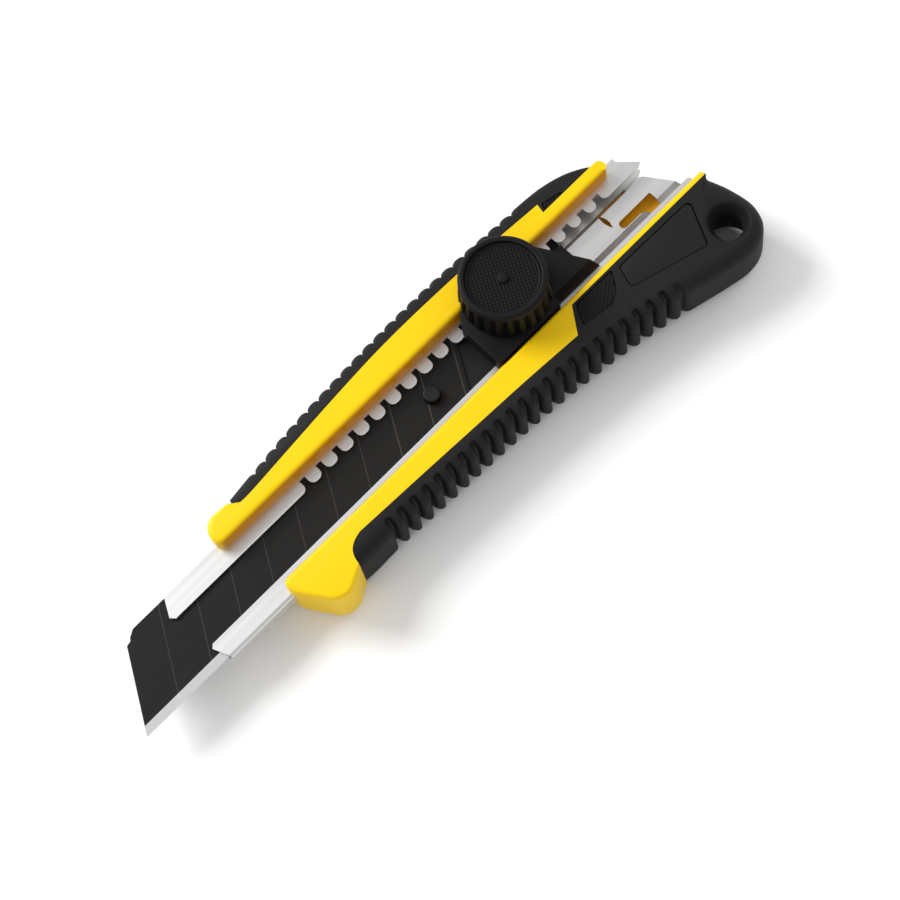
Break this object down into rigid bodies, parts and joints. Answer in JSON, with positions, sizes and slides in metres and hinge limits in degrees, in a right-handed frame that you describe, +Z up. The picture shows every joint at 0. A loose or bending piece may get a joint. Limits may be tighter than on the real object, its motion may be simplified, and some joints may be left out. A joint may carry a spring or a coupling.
{
  "type": "snap-off knife",
  "caption": "Heavy-duty snap-off knife: a segmented blade slides in a folded steel rail inside a ribbed two-colour handle and is locked by a turned knob.",
  "frame": {"origin": "centre of the bounding box at the flat underside that the knife rests on", "axes": "+X forward to the blade tip, +Y to the cutting edge, +Z up through the knob, away from the rest face"},
  "size_m": [0.2238, 0.0598, 0.032],
  "materials": {
    "blade_steel": "black oxide, bright ground edge",
    "stainless": "satin stainless",
    "zinc_steel": "zinc plated",
    "black_steel": "blackened",
    "brass": "plain",
    "yellow_plastic": "satin moulded",
    "black_plastic": "fine grain moulded",
    "black_elastomer": "matte soft-touch"
  },
  "bodies": {
    "handle": {"handle_frame": "yellow_plastic", "bottom_shell": "black_plastic", "shell_screws": "zinc_steel", "rail": "stainless", "rail_rivets": "zinc_steel", "grip_edge_side": "black_elastomer", "grip_spine_side": "black_elastomer", "thumb_pad_edge": "black_elastomer", "thumb_pad_spine": "black_elastomer", "name_panel": "black_elastomer"},
    "slider": {"slider_body": "black_plastic", "blade_carrier": "black_steel", "blade_pin": "black_plastic", "carrier_rivets": "zinc_steel", "blade": "blade_steel", "spring_washer": "zinc_steel", "thrust_washer": "zinc_steel"},
    "knob": {"knob_body": "black_plastic", "knob_insert": "brass", "knob_disc": "black_plastic"},
    "clamp": {"clamp_plate": "zinc_steel", "clamp_stud": "zinc_steel", "stop_ring": "zinc_steel"}
  },
  "joints": [
    {"name": "blade_slide", "type": "slide", "parent": "handle", "child": "slider", "axis": [1, 0, 0], "range_m": [-0.032, 0.06]},
    {"name": "knob_turn", "type": "hinge", "parent": "slider", "child": "knob", "pos_m": [-0.04422, -0.01117, 0.026], "axis": [0, 0, 1], "range_deg": [0, 180]},
    {"name": "clamp_lift", "type": "slide", "parent": "slider", "child": "clamp", "axis": [0, 0, 1], "range_m": [-0.0005, 0]}
  ],
  "couplings": [
    {"joint": "clamp_lift", "follows": "knob_turn", "m_per_rad": -0.00015915}
  ]
}
